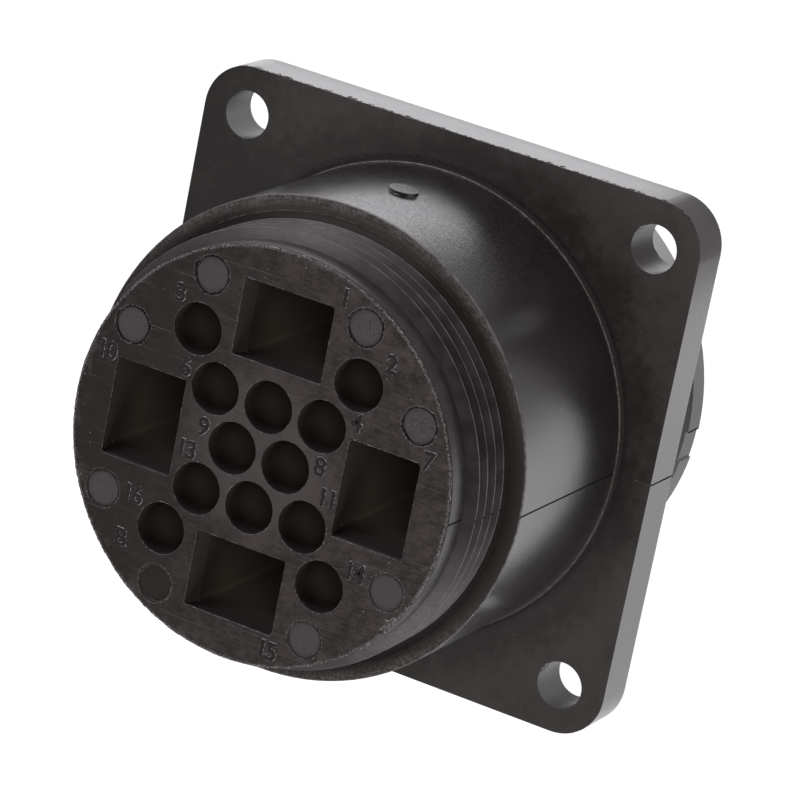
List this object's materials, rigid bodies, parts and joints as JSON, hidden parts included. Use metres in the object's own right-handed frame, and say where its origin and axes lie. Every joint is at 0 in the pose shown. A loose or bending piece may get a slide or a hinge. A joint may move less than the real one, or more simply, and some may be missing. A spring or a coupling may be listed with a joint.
{
  "type": "circular connector receptacle",
  "caption": "Moulded circular connector receptacle with a square bolt-on flange, a threaded rear neck, round and rectangular contact cavities and a hollow coupling shell in front.",
  "frame": {"origin": "centre of the flange's front face, on the connector's axis", "axes": "+Z along the axis towards the rear (wire) face, +X and +Y along the flange's edges"},
  "size_m": [0.047, 0.047, 0.043],
  "materials": {
    "housing": "semi-gloss moulded black"
  },
  "bodies": {
    "root": {"housing": "housing"}
  },
  "joints": []
}
